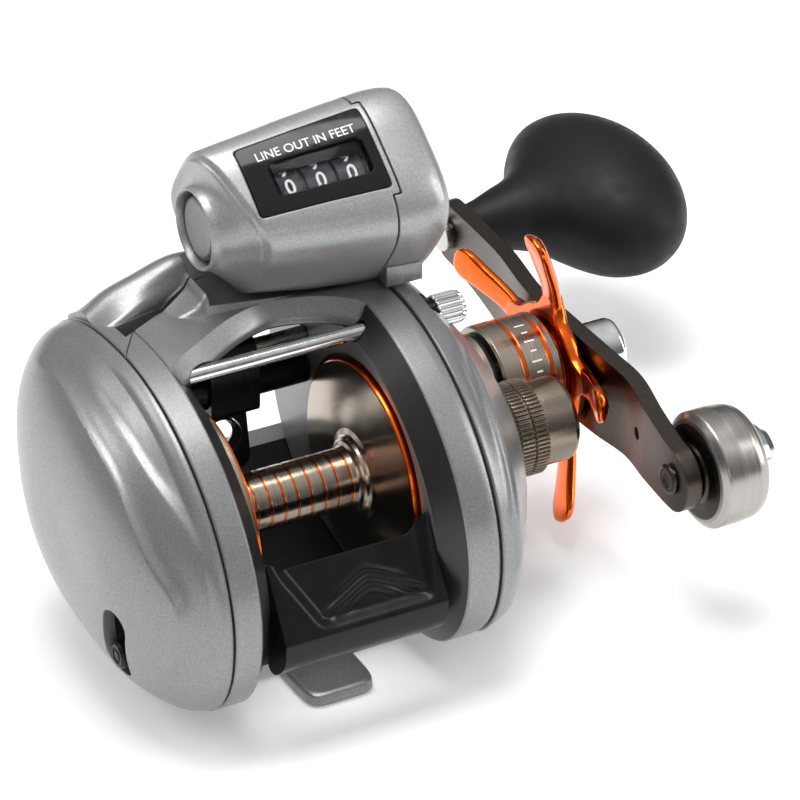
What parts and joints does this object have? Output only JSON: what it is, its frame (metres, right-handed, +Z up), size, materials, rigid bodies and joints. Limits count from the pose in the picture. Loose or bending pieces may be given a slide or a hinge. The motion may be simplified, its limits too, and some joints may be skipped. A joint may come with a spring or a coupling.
{
  "type": "trolling reel",
  "caption": "Low-profile trolling reel with line counter, level wind, star drag, counterweighted power handle and flat foot.",
  "frame": {"origin": "centre of the reel foot's flat underside", "axes": "+X to the handle side, +Y to the rod tip, +Z up from the rod"},
  "size_m": [0.1722, 0.1423, 0.0994],
  "materials": {
    "silver_grey_paint": "satin metallic paint",
    "dark_grey_paint": "satin metallic paint",
    "black_plastic": "fine satin",
    "black_gloss": "gloss",
    "black_rubber": "soft matte",
    "steel": "brushed",
    "chrome": "polished",
    "champagne": "anodised, turned",
    "bronze": "anodised, satin",
    "orange_anodised": "anodised, gloss",
    "brass": "machined",
    "carbon": "woven carbon fibre",
    "ceramic": "polished",
    "clear_lens": "clear",
    "digit_black": "matte"
  },
  "bodies": {
    "frame": {"main_frame": "silver_grey_paint", "reel_foot": "dark_grey_paint", "foot_screw_rear": "steel", "foot_screw_front": "steel", "left_side_cover": "silver_grey_paint", "right_side_cover": "silver_grey_paint", "left_spool_bearing": "steel", "right_spool_bearing": "steel", "shaft_end_bearing": "steel", "cast_spacer": "brass", "anti_reverse_bearing": "steel", "drive_boss_ring": "champagne", "worm_tube": "black_plastic", "guide_rod": "steel", "counter_housing": "silver_grey_paint", "counter_end_cap": "silver_grey_paint", "counter_bezel": "black_gloss", "counter_lens": "clear_lens", "counter_axle": "steel", "counter_pedestal": "silver_grey_paint"},
    "handle": {"drive_shaft": "steel", "worm_drive_gear": "brass", "drive_gear": "brass", "drag_washer": "carbon", "drag_pressure_plate": "steel", "drag_spring_washer": "steel", "anti_reverse_sleeve": "steel", "handle_arm": "bronze", "handle_nut": "chrome", "knob_spindle": "steel", "counterweight": "steel", "counterweight_bolt": "chrome"},
    "knob": {"handle_knob": "black_rubber"},
    "star": {"star_drag": "orange_anodised"},
    "spool_assembly": {"spool": "champagne", "spool_shaft": "steel"},
    "pinion": {"pinion_gear": "brass"},
    "yoke": {"clutch_yoke": "steel", "yoke_spring_lower": "steel", "yoke_spring_upper": "steel"},
    "clutch_bar": {"thumb_bar": "black_plastic"},
    "worm": {"worm_shaft": "steel", "worm_gear": "brass"},
    "guide": {"line_guide": "black_plastic", "line_guide_eye": "ceramic"},
    "cast_knob": {"cast_control_knob": "bronze"},
    "cover_screw": {"cover_thumb_screw": "chrome"},
    "units_wheel": {"digit_wheel_units": "digit_black"},
    "tens_wheel": {"digit_wheel_tens": "digit_black"},
    "hundreds_wheel": {"digit_wheel_hundreds": "digit_black"},
    "reset_button": {"counter_reset_button": "dark_grey_paint"},
    "clicker": {"clicker_knob": "black_plastic"}
  },
  "joints": [
    {"name": "handle_turn", "type": "hinge", "parent": "frame", "child": "handle", "pos_m": [0, 0.012, 0.032], "axis": [-1, 0, 0], "continuous": true},
    {"name": "knob_spin", "type": "hinge", "parent": "handle", "child": "knob", "pos_m": [0, 0.0684, 0.032], "axis": [1, 0, 0], "continuous": true},
    {"name": "star_drag_turn", "type": "hinge", "parent": "handle", "child": "star", "pos_m": [0, 0.012, 0.032], "axis": [1, 0, 0], "range_deg": [-180, 360]},
    {"name": "spool_spin", "type": "hinge", "parent": "frame", "child": "spool_assembly", "pos_m": [0, -0.008, 0.033], "axis": [-1, 0, 0], "continuous": true},
    {"name": "pinion_shift", "type": "slide", "parent": "spool_assembly", "child": "pinion", "axis": [1, 0, 0], "range_m": [0, 0.0015]},
    {"name": "yoke_shift", "type": "slide", "parent": "frame", "child": "yoke", "axis": [1, 0, 0], "range_m": [0, 0.0015]},
    {"name": "thumb_bar_press", "type": "slide", "parent": "frame", "child": "clutch_bar", "axis": [0, 0, -1], "range_m": [0, 0.004]},
    {"name": "worm_spin", "type": "hinge", "parent": "frame", "child": "worm", "pos_m": [0, 0.017, 0.0435], "axis": [-1, 0, 0], "continuous": true},
    {"name": "line_guide_traverse", "type": "slide", "parent": "frame", "child": "guide", "axis": [1, 0, 0], "range_m": [-0.0098, 0.0098]},
    {"name": "cast_control_turn", "type": "hinge", "parent": "frame", "child": "cast_knob", "pos_m": [0, -0.008, 0.033], "axis": [1, 0, 0], "range_deg": [-360, 360]},
    {"name": "cover_screw_turn", "type": "hinge", "parent": "frame", "child": "cover_screw", "pos_m": [0, -0.0035, 0.061], "axis": [1, 0, 0], "range_deg": [-720, 720]},
    {"name": "units_wheel_turn", "type": "hinge", "parent": "frame", "child": "units_wheel", "pos_m": [0, 0.00803, 0.08592], "axis": [1, 0, 0], "continuous": true},
    {"name": "tens_wheel_turn", "type": "hinge", "parent": "frame", "child": "tens_wheel", "pos_m": [0, 0.00803, 0.08592], "axis": [1, 0, 0], "continuous": true},
    {"name": "hundreds_wheel_turn", "type": "hinge", "parent": "frame", "child": "hundreds_wheel", "pos_m": [0, 0.00803, 0.08592], "axis": [1, 0, 0], "continuous": true},
    {"name": "reset_button_press", "type": "slide", "parent": "frame", "child": "reset_button", "axis": [1, 0, 0], "range_m": [0, 0.002], "stiffness_N_per_m": 400},
    {"name": "clicker_slide", "type": "slide", "parent": "frame", "child": "clicker", "axis": [0, -0.209, 0.9779], "range_m": [0, 0.005]}
  ],
  "couplings": [
    {"joint": "spool_spin", "follows": "handle_turn", "ratio": -4.1667},
    {"joint": "worm_spin", "follows": "handle_turn", "ratio": -1.5},
    {"joint": "units_wheel_turn", "follows": "handle_turn", "ratio": -0.125},
    {"joint": "tens_wheel_turn", "follows": "handle_turn", "ratio": -0.0125},
    {"joint": "hundreds_wheel_turn", "follows": "handle_turn", "ratio": -0.00125},
    {"joint": "pinion_shift", "follows": "thumb_bar_press", "ratio": 0.375},
    {"joint": "yoke_shift", "follows": "thumb_bar_press", "ratio": 0.375}
  ]
}
